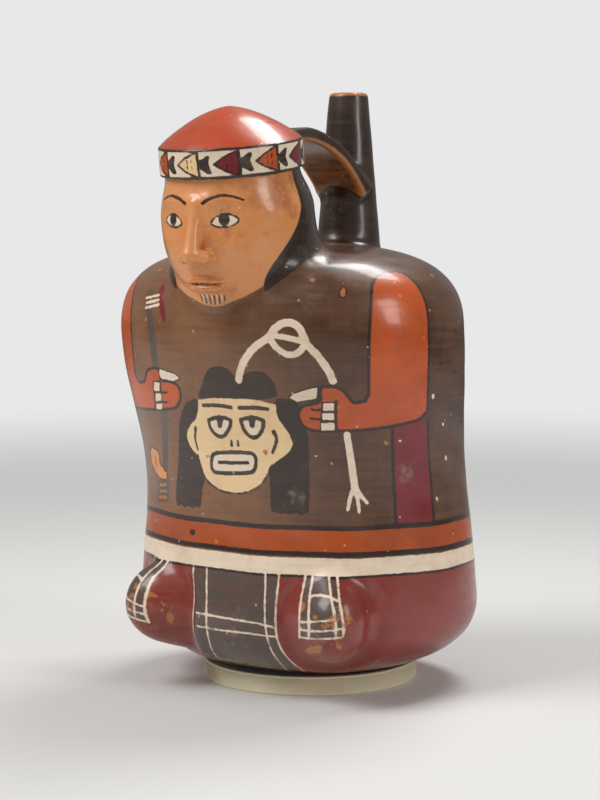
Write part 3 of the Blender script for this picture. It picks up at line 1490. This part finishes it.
def age_group() -> bpy.types.NodeTree:
    """Marks of age: pale grit, small chips down to the clay, rubbed places, pale dust and stains."""
    outputs = numbers("Grit", "Chip", "Rub", "Dust", "Stain")
    nodes, given = group("ShaderNodeTree", "age", numbers("Wear"), outputs)
    place = nodes.place()
    marks = {}
    for name, scale, size, rare in (("Grit", 260.0, 0.09, 0.93), ("Chip", 95.0, 0.06, 0.90)):
        cells = nodes.put("ShaderNodeTexVoronoi", {"Vector": place, "Scale": scale})
        ragged = nodes.times(nodes.minus(nodes.noise(place, 900.0), 0.5), 0.12)
        spot = nodes.span(nodes.plus(cells["Distance"], ragged), size, size * 2.2, 1.0, 0.0)
        pick = nodes.put("ShaderNodeSeparateColor", {0: cells["Color"]})[0]
        marks[name] = nodes.times(spot, nodes.math("GREATER_THAN", pick, rare))
    coarse, fine = nodes.noise(place, 150.0, 6.0, 0.7), nodes.noise(place, 600.0, 3.0, 0.6)
    patches = nodes.plus(nodes.times(coarse, 0.7), nodes.times(fine, 0.3))
    limit = nodes.minus(0.86, nodes.times(given["Wear"], 0.36))
    marks["Rub"] = nodes.span(nodes.minus(patches, limit), -0.02, 0.05)
    marks["Dust"] = nodes.span(nodes.noise(place, 70.0, 6.0, 0.7), 0.52, 0.80)
    marks["Stain"] = nodes.span(nodes.noise(place, 48.0, 7.0, 0.68), 0.48, 0.74)
    nodes.put("NodeGroupOutput", marks)
    return nodes.tree


def blank(name: str) -> tuple[bpy.types.Material, Nodes, bpy.types.Node]:
    """A new material, its nodes and its shader."""
    material = bpy.data.materials.new(name)
    material.use_nodes = True
    return material, Nodes(material.node_tree), material.node_tree.nodes["Principled BSDF"]


def shaded(colour: Colour, share: float = 1.0) -> tuple[float, ...]:
    """A colour as a socket takes it, darkened to a share."""
    return (*(share * part for part in colour), 1.0)


@dataclass(frozen=True)
class PaintedClay:
    """Burnished clay under the coats of slip that the skin's attributes outline."""

    ground_light: Colour = srgb(148, 102, 68)
    ground_dark: Colour = srgb(74, 45, 29)
    clay: Colour = srgb(196, 128, 72)
    grit: Colour = srgb(222, 205, 180)
    roughness: float = 0.24
    glaze: float = 0.35
    glaze_roughness: float = 0.10
    bump: float = 0.00010
    stain: Colour = (0.72, 0.66, 0.60)
    thick: Colour = (0.60, 0.46, 0.38)
    depth: float = 0.55
    dust: float = 0.02

    @property
    def depths(self) -> dict[Slip, float]:
        """How far the paler slips darken where they lie thick."""
        return {Slip.CREAM: 0.12, Slip.YELLOW: 0.22, Slip.FLESH: 0.75}

    @property
    def coats(self) -> dict[Slip, tuple[Colour, float]]:
        """Colour and thinness of each slip."""
        return {
            Slip.SKIRT: (srgb(148, 53, 47), 0.26),
            Slip.MAROON: (srgb(134, 27, 41), 0.20),
            Slip.FLESH: (srgb(228, 150, 90), 0.0),
            Slip.CAP: (srgb(194, 74, 36), 0.05),
            Slip.HAIR: (srgb(46, 32, 25), 0.18),
            Slip.GREY: (srgb(94, 84, 78), 0.18),
            Slip.ORANGE: (srgb(210, 90, 26), 0.18),
            Slip.BELT: (srgb(190, 83, 23), 0.20),
            Slip.YELLOW: (srgb(254, 219, 168), 0.06),
            Slip.CLAY: (srgb(192, 124, 64), 0.10),
            Slip.SOOT: (srgb(92, 66, 42), 0.80),
            Slip.DARK: (srgb(44, 32, 28), 0.10),
            Slip.CREAM: (srgb(249, 228, 203), 0.12),
            Slip.INK: (srgb(44, 32, 28), 0.08),
        }

    def material(self) -> bpy.types.Material:
        """Builds the material."""
        material, nodes, shader = blank("painted_clay")
        burnish = nodes.put("ShaderNodeGroup", {}, node_tree=burnish_group())
        age = nodes.put("ShaderNodeGroup", {"Wear": nodes.attribute("wear")}, node_tree=age_group())
        colour, pale = self.painting(nodes, burnish, age)
        stain = nodes.mix(age["Stain"], shaded((1, 1, 1)), shaded(self.stain))
        colour = nodes.mix(0.6, colour, nodes.mix(1.0, colour, stain, "MULTIPLY"))
        dust = nodes.times(age["Dust"], nodes.plus(nodes.attribute("haze"), self.dust))
        colour = nodes.mix(dust, colour, shaded(self.grit))
        wounds = (("Rub", 0.8, self.clay), ("Chip", 0.7, self.clay), ("Grit", 0.5, self.grit))
        for mark, share, bare in wounds:
            colour = nodes.mix(nodes.times(age[mark], share), colour, shaded(bare))
        marks = nodes.plus(age["Rub"], age["Chip"], clamp=True)
        rough = nodes.plus(nodes.plus(burnish["Rough"], self.roughness), nodes.times(marks, 0.30))
        height = nodes.minus(burnish["Height"], nodes.times(marks, 1.5))
        relief = nodes.put("ShaderNodeBump", {"Strength": 1.0, "Distance": self.bump, "Height": height})
        nodes.feed(shader, {
            "Base Color": colour,
            "Roughness": nodes.plus(rough, nodes.times(pale, 0.10), clamp=True),
            "Coat Weight": nodes.times(nodes.minus(1.0, marks, clamp=True), self.glaze),
            "Coat Roughness": self.glaze_roughness,
            "Normal": relief["Normal"],
        })
        return material

    def painting(
        self, nodes: Nodes, burnish: bpy.types.NodeOutputs, age: bpy.types.NodeOutputs
    ) -> tuple[Socket, Socket]:
        """Lays the coats over the bare brown of the tunic.

        Args:
            nodes: the material's nodes.
            burnish: what the burnish group puts out.
            age: what the age group puts out.

        Returns:
            The colour, and a mask of the pale cream slip.
        """
        wander = nodes.times(nodes.minus(nodes.noise(nodes.place(), 420.0, 3.0), 0.5), 0.9)
        share = nodes.plus(nodes.attribute("tone"), nodes.times(burnish["Mottle"], 0.25))
        brushed = nodes.times(nodes.minus(burnish["Streak"], 0.4), 0.20)
        share = nodes.plus(share, brushed, clamp=True)
        colour = nodes.mix(share, shaded(self.ground_dark), shaded(self.ground_light))
        coat_tree = coat_group()
        masks = {}
        for slip, (paint, thin) in self.coats.items():
            cloud = age["Stain"] if slip is Slip.FLESH else burnish["Mottle"]
            depth = nodes.times(cloud, self.depths.get(slip, self.depth))
            deep = tuple(part * keep for part, keep in zip(paint, self.thick))
            inputs = {
                "Under": colour,
                "Slip": nodes.mix(depth, shaded(paint), shaded(deep)),
                "Edge": nodes.attribute("slip_" + slip.value),
                "Wander": wander,
                "Streak": burnish["Streak"],
                "Thin": thin,
            }
            coat = nodes.put("ShaderNodeGroup", inputs, node_tree=coat_tree, label=slip.value)
            colour, masks[slip] = coat["Color"], coat["Mask"]
        return colour, masks[Slip.CREAM]


@dataclass(frozen=True)
class Coating:
    """A plain finish with a soft colour change: the ring's paint or the pad's felt."""

    name: str
    light: Colour
    dark: Colour
    scale: float
    roughness: float
    bump: float
    sheen: float = 0.0

    def material(self) -> bpy.types.Material:
        """Builds the material."""
        material, nodes, shader = blank(self.name)
        place = nodes.place()
        cloud = nodes.span(nodes.noise(place, 60.0, 4.0, 0.6), 0.3, 0.7)
        grain = nodes.noise(place, self.scale, 3.0, 0.6)
        share = nodes.plus(nodes.times(cloud, 0.6), nodes.times(grain, 0.4))
        relief = nodes.put("ShaderNodeBump", {"Distance": self.bump, "Height": grain})
        nodes.feed(shader, {
            "Base Color": nodes.mix(share, shaded(self.dark), shaded(self.light)),
            "Roughness": nodes.plus(self.roughness, nodes.times(grain, 0.2)),
            "Sheen Weight": self.sheen,
            "Normal": relief["Normal"],
        })
        return material


# Pieces


@dataclass
class Figure:
    """The painted bottle, cut from its skin into the pieces of the solid model."""

    bottle: Bottle
    skin: Skin
    canvas: Canvas
    offset: Vector
    rim_depth: float = 2.0
    foot_wear: Span = Span(0.74, 10.0, 44.0)
    knee_wear: Span = Span(0.95, 84.0, 93.0)
    knee_top: float = 62.0
    lip_wear: Span = Span(0.9, 276.0, 280.0)
    strap_wear: float = 0.55
    least_wear: float = 0.25
    foot_haze: Span = Span(0.45, 9.0, 30.0)
    spot_haze: float = 0.8
    right_tone: float = 0.62
    left_tone: Span = Span(0.60, -10.0, 55.0)
    height_tone: float = 0.0012
    middle: float = 120.0

    SLOTS = {
        Clay.BOWL: "maroon_slip", Clay.TORSO: "umber_slip", Clay.SHOULDER: "umber_slip",
        Clay.LEFT_KNEE: "maroon_slip", Clay.RIGHT_KNEE: "maroon_slip", Clay.FACE: "flesh_slip",
        Clay.NOSE: "flesh_slip", Clay.BAND: "cream_slip", Clay.CAP: "red_slip", Clay.NAPE: "hair_slip",
        Clay.SPOUT: "hair_slip", Clay.COLLAR: "hair_slip", Clay.STRAP: "hair_slip",
    }

    RUBS = (
        ((314, 651), 6.0, 1.0), ((171, 616), 5.0, 1.0), ((165, 604), 4.0, 0.9), ((315, 618), 3.0, 0.9),
        ((338, 610), 3.0, 0.9), ((140, 586), 5.0, 0.9), ((340, 648), 4.0, 0.9), ((250, 660), 8.0, 0.7),
        ((300, 665), 12.0, 0.8),
    )
    HAZES = (
        ((413, 478), 7.0, 0.9), ((300, 492), 9.0, 0.7), ((225, 632), 14.0, 0.5), ((330, 655), 14.0, 0.6),
        ((260, 200), 14.0, 0.5), ((280, 270), 12.0, 0.5), ((190, 200), 10.0, 0.5), ((330, 270), 16.0, 0.5),
        ((355, 200), 12.0, 0.5), ((150, 600), 12.0, 0.4),
    )

    def dress(self) -> None:
        """Lays the whole painting."""
        clothes = (Tunic(), LeftArm(), Staff(), RightArm(), TrophyHead(), Cord(), Loincloth())
        for work in (*clothes, HeadPaint(), Scars()):
            work.paint(self.canvas)
            LOG.info("painted %s", type(work).__name__)

    def wear(self) -> Array:
        """How rubbed the surface is at each vertex, 0 to 1."""
        points = self.skin.vertices
        d = self.bottle.forms(points)
        z = points[:, 2]
        strap = (d[Clay.STRAP] < 1) & (d[Clay.STRAP] < d[Clay.CAP])
        worn = [self.foot_wear.fall(z), self.lip_wear.rise(z), self.strap_wear * strap]
        worn.append(self.near(self.RUBS))
        for knee in (self.bottle.left_knee, self.bottle.right_knee):
            worn.append(self.knee_wear.rise(knee.turned(points)[1]) * (z < self.knee_top))
        return np.maximum(np.maximum.reduce(worn), self.least_wear)

    def near(self, spots: tuple[tuple[Point, float, float], ...]) -> Array:
        """How near each vertex is to marked spots, each an image point with a reach and a strength."""
        points = self.skin.vertices
        most = np.zeros(len(points))
        for place, reach, share in spots:
            spot = self.canvas.view.trace(self.bottle, np.array([place]))[0]
            most = np.maximum(most, share * bump(np.linalg.norm(points - spot, axis=1), reach))
        return most

    def haze(self) -> Array:
        """How dusty the surface is at each vertex: the marked spots and the scuffed foot of the bowl."""
        foot = self.foot_haze.fall(self.skin.vertices[:, 2])
        return np.maximum(self.spot_haze * self.near(self.HAZES), foot)

    def tone(self) -> Array:
        """How pale the tunic's brown is: paler on the figure's right, darker at the left shoulder."""
        x, _, z = self.skin.vertices.T
        across = self.right_tone - self.left_tone.rise(x)
        return np.clip(across - self.height_tone * (z - self.middle), 0, 1)

    def build(self, material: bpy.types.Material) -> None:
        """Cuts the skin up and hands each piece to its body."""
        labels = self.bottle.pieces(self.skin.vertices[self.skin.faces].mean(1))
        extra = {"wear": self.wear(), "tone": self.tone(), "haze": self.haze()}
        values = {"slip_" + slip.value: layer for slip, layer in self.canvas.layers.items()} | extra
        for piece in Clay:
            faces = self.skin.faces[labels == piece.number]
            used, inverse = np.unique(faces, return_inverse=True)
            mesh = bpy.data.meshes.new(piece.value)
            places = self.skin.vertices[used] * METRE + np.array(self.offset)
            mesh.from_pydata(places.tolist(), [], inverse.reshape(faces.shape).tolist())
            for name, layer in values.items():
                attribute = mesh.attributes.new(name, "FLOAT", "POINT")
                attribute.data.foreach_set("value", np.ascontiguousarray(layer[used], np.float32))
            self.close(mesh, self.skin.normals[used] * METRE)
            mesh.shade_smooth()
            normals = np.zeros((len(mesh.vertices), 3))
            normals[: len(used)] = self.skin.normals[used]
            mesh.normals_split_custom_set_from_vertices(normals.tolist())
            mesh.materials.append(material)
            thing = show(piece.value + "_look", mesh)
            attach(thing, "vessel")
            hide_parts(piece.value)
            LOG.info("%s: %d faces", thing.name, len(mesh.polygons))

    def close(self, mesh: bpy.types.Mesh, normals: Array) -> None:
        """Closes the piece where it was cut from its neighbours, a little under the surface.

        Args:
            mesh: the piece's open mesh.
            normals: outward normals of its vertices, a millimetre long.
        """
        form = bmesh.new()
        form.from_mesh(mesh)
        rims = [edge for edge in form.edges if edge.is_boundary]
        sunk = {}
        for edge in rims:
            for vertex in edge.verts:
                if vertex not in sunk:
                    place = vertex.co - Vector(normals[vertex.index]) * self.rim_depth
                    sunk[vertex] = form.verts.new(place, vertex)
        fresh = []
        for edge in rims:
            start, end = edge.link_loops[0].vert, edge.link_loops[0].link_loop_next.vert
            wall = form.faces.new((end, start, sunk[start], sunk[end]))
            fresh.extend(wall.edges)
        inner = [edge for edge in set(fresh) if edge.is_boundary]
        made = bmesh.ops.holes_fill(form, edges=inner, sides=0)["faces"]
        bmesh.ops.triangulate(form, faces=made)
        form.to_mesh(mesh)
        form.free()


@dataclass
class DisplayRing:
    """The pale turned ring that the bottle stands on, with its felt pad."""

    bottle: Bottle
    offset: Vector
    outer: float = 51.5
    inner: float = 43.0
    seat_outer: float = 49.0
    seat_drop: float = 3.2
    edge: float = 0.7
    pad_outer: float = 50.3
    pad_inner: float = 44.8
    pad_press: float = 0.05
    pad_lift: float = 0.1
    pad_least: float = 0.5
    pad_bulge: float = 0.7
    pad_fuzz: float = 0.25
    pad_rows: int = 6
    sides: int = 160
    corner_reach: float = 1.1
    corner_share: float = 0.4
    search_top: float = 30.0
    search_steps: int = 30

    @property
    def height(self) -> float:
        """Height of the ring's top, from the solid model."""
        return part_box("base_ring")[1][2] / METRE

    def build(self) -> None:
        """Builds both pieces and hands them to the stand."""
        paint = Coating("ring_paint", srgb(246, 235, 202), srgb(234, 223, 188), 700.0, 0.42, 0.00004)
        felt = Coating("felt", srgb(34, 32, 31), srgb(16, 15, 15), 1800.0, 0.85, 0.00025, 0.3)
        ring, pad = self.ring(paint.material()), self.pad(felt.material())
        for thing, node, slot in ((ring, "base_ring", "bone_paint"), (pad, "felt_pad", "black_felt")):
            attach(thing, "stand")
            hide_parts(node)
            LOG.info("%s: %d faces", thing.name, len(thing.data.polygons))

    def outline(self) -> list[Point]:
        """The ring's section, with points beside each corner so that its flats stay flat."""
        top = self.height
        corners = [Vector(at) for at in (
            (self.inner, 0.0),
            (self.outer, 0.0),
            (self.outer, top),
            (self.seat_outer, top),
            (self.inner, top - self.seat_drop),
        )]
        points = []
        for before, corner, after in zip(corners[-1:] + corners, corners, corners[1:] + corners[:1]):
            for other in (before, after):
                way = other - corner
                reach = min(self.corner_reach, way.length * self.corner_share)
                points.append(corner + way.normalized() * reach)
            points.insert(-1, corner)
        return [(point.x, point.y) for point in points]

    def ring(self, material: bpy.types.Material) -> bpy.types.Object:
        """Sweeps the section round a circle."""
        section = bpy.data.meshes.new("ring_section")
        places = [((x - self.inner) * METRE, -y * METRE, 0) for x, y in reversed(self.outline())]
        section.from_pydata(places, [(i, (i + 1) % len(places)) for i in range(len(places))], [])
        thing = show("base_ring_look", section)
        modifier = thing.modifiers.new("sweep", "NODES")
        modifier.node_group = turned_tree()
        values = {
            "Radius": self.inner * METRE,
            "Edge": self.edge * METRE,
            "Sides": self.sides,
            "Material": material,
        }
        for item in modifier.node_group.interface.items_tree:
            if item.in_out == "INPUT" and item.name in values:
                modifier[item.identifier] = values[item.name]
        graph = bpy.context.evaluated_depsgraph_get()
        mesh = bpy.data.meshes.new_from_object(thing.evaluated_get(graph))
        thing.modifiers.remove(modifier)
        mesh.transform(Matrix.Translation(self.offset))
        thing.data = mesh
        return thing

    def pad(self, material: bpy.types.Material) -> bpy.types.Object:
        """A felt strip that fills the wedge between the ring's seat and the bowl."""
        radii = np.linspace(self.pad_inner, self.pad_outer, self.pad_rows)
        slope = np.clip((self.seat_outer - radii) / (self.seat_outer - self.inner), 0, 1)
        seat = self.height - self.seat_drop * slope
        form = bmesh.new()
        loops = []
        for turn in np.linspace(0, 2 * np.pi, self.sides, endpoint=False):
            way = np.array([np.cos(turn), np.sin(turn)])
            top = np.maximum(self.rest(np.outer(radii, way)) - self.pad_press, seat + self.pad_least)
            under = seat + self.pad_lift
            fuzz = self.pad_fuzz * math.sin(turn * 23) * math.sin(turn * 7 + 1)
            outs = [*radii, self.pad_outer + self.pad_bulge + fuzz, *radii[::-1]]
            ups = [*under, (under[-1] + top[-1]) / 2, *top[::-1]]
            places = [Vector((r * way[0], r * way[1], z)) * METRE for r, z in zip(outs, ups)]
            loops.append([form.verts.new(place) for place in places])
        for loop, after in zip(loops, loops[1:] + loops[:1]):
            for i in range(len(loop)):
                form.faces.new((loop[i - 1], after[i - 1], after[i], loop[i]))
        bmesh.ops.recalc_face_normals(form, faces=form.faces)
        mesh = bpy.data.meshes.new("felt_pad_look")
        form.to_mesh(mesh)
        form.free()
        mesh.transform(Matrix.Translation(self.offset))
        mesh.shade_smooth()
        mesh.materials.append(material)
        return show("felt_pad_look", mesh)

    def rest(self, places: Array) -> Array:
        """Heights of the bowl's underside over places in plan."""
        low, high = np.zeros(len(places)), np.full(len(places), self.search_top)
        for _ in range(self.search_steps):
            middle = (low + high) / 2
            inside = self.bottle.body.distance(np.column_stack([places, middle])) < 0
            high, low = np.where(inside, middle, high), np.where(inside, low, middle)
        return low


def turned_tree() -> bpy.types.NodeTree:
    """Geometry nodes that round a section's corners and sweep it round a circle."""
    form = {"Geometry": "Geometry"}
    inputs = form | numbers("Radius", "Edge") | {"Sides": "Int", "Material": "Material"}
    nodes, given = group("GeometryNodeTree", "turned ring", inputs, form)
    section = nodes.put("GeometryNodeMeshToCurve", {"Mesh": given["Geometry"]})[0]
    corners = {"Curve": section, "Count": 3, "Radius": given["Edge"]}
    rounded = nodes.put("GeometryNodeFilletCurve", corners, mode="POLY")[0]
    turn = {"Resolution": given["Sides"], "Radius": given["Radius"]}
    circle = nodes.put("GeometryNodeCurvePrimitiveCircle", turn)[0]
    upright = nodes.put("GeometryNodeSetCurveNormal", {"Curve": circle}, mode="Z_UP")[0]
    sweep = nodes.put("GeometryNodeCurveToMesh", {"Curve": upright, "Profile Curve": rounded})[0]
    soft = nodes.put("GeometryNodeSetShadeSmooth", {"Geometry": sweep})[0]
    real = nodes.put("GeometryNodeRealizeInstances", {"Geometry": soft})[0]
    finish = nodes.put("GeometryNodeSetMaterial", {"Geometry": real, "Material": given["Material"]})[0]
    nodes.put("NodeGroupOutput", {"Geometry": finish})
    return nodes.tree


@dataclass(frozen=True)
class Lamp:
    """A soft box aimed at the bottle, in metres and watts."""

    name: str
    place: Place
    width: float
    height: float
    power: float
    aim: Place = (0.0, 0.0, 0.15)

    def build(self) -> None:
        """Adds it to the scene."""
        data = bpy.data.lights.new(self.name, "AREA")
        data.shape = "RECTANGLE"
        data.size, data.size_y, data.energy = self.width, self.height, self.power
        lamp = show(self.name, data)
        lamp.location = self.place
        lamp.rotation_euler = (Vector(self.place) - Vector(self.aim)).to_track_quat("Z", "Y").to_euler()


@dataclass(frozen=True)
class Studio:
    """Pale floor that fades into the surround, and soft lamps."""

    half: float = 9.0
    floor: Colour = srgb(224, 224, 223)
    mottle: float = 0.97
    mottle_scale: float = 3.0
    far_floor: float = 0.30
    fade: Point = (0.22, 1.5)
    roughness: float = 0.7
    surround: float = 0.26
    surround_tint: Colour = (1.0, 0.96, 0.90)
    seen: Colour = srgb(232, 232, 232)
    lamps: tuple[Lamp, ...] = (
        Lamp("top", (0.10, 0.46, 1.05), 0.50, 0.30, 6.0),
        Lamp("key", (-0.50, -0.75, 1.10), 0.70, 0.70, 11.5),
        Lamp("side", (1.10, -0.10, 0.62), 0.30, 0.70, 3.8),
    )

    def build(self) -> None:
        """Adds them to the scene."""
        mesh = bpy.data.meshes.new("floor")
        corners = [(x, y, 0) for x, y in box((-self.half, -self.half), (self.half, self.half))]
        mesh.from_pydata(corners, [], [(0, 1, 2, 3)])
        mesh.materials.append(self.floor_material())
        ground = show("floor", mesh)
        for lamp in self.lamps:
            lamp.build()
        self.sky()
        bpy.context.scene.view_settings.view_transform = "Standard"

    def floor_material(self) -> bpy.types.Material:
        """A matt floor that takes the surround's colour far from the bottle."""
        material, nodes, shader = blank("floor")
        place = nodes.place()
        noise = nodes.noise(place, self.mottle_scale)
        tint = nodes.mix(noise, shaded(self.floor), shaded(self.floor, self.mottle))
        reach = nodes.put("ShaderNodeVectorMath", {0: place}, operation="LENGTH")["Value"]
        far = nodes.span(reach, *self.fade)
        colour = nodes.mix(far, tint, shaded(self.floor, self.far_floor))
        nodes.feed(shader, {"Base Color": colour, "Roughness": self.roughness})
        glow = nodes.put("ShaderNodeEmission", {"Color": shaded(self.seen)})[0]
        share = nodes.times(far, nodes.ray())
        blend = nodes.put("ShaderNodeMixShader", {0: share, 1: shader.outputs[0], 2: glow})[0]
        nodes.feed(material.node_tree.nodes["Material Output"], {"Surface": blend})
        return material

    def sky(self) -> None:
        """Adds an even pale surround, which the camera sees in the colour that the floor fades to."""
        world = bpy.data.worlds.new("surround")
        bpy.context.scene.world = world
        world.use_nodes = True
        nodes = Nodes(world.node_tree)
        unseen = shaded(self.surround_tint, self.surround)
        colour = nodes.mix(nodes.ray(), unseen, shaded(self.seen))
        nodes.feed(world.node_tree.nodes["Background"], {"Color": colour, "Strength": 1.0})


def main() -> None:
    """Builds the bottle, its ring and the studio."""
    logging.basicConfig(level=logging.INFO, format="%(message)s")
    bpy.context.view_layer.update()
    low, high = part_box("base_ring")
    offset = Vector((0, (low[1] + high[1]) / 2, 0))
    bottle, view = Bottle(), View()
    skin = Skin(bottle, SKIN_STEP)
    LOG.info("skin: %d vertices", len(skin.vertices))
    figure = Figure(bottle, skin, Canvas(bottle, view, skin.vertices), offset)
    figure.dress()
    figure.build(PaintedClay().material())
    DisplayRing(bottle, offset).build()
    Studio().build()
    view.camera(offset)


if __name__ == "__main__":
    main()
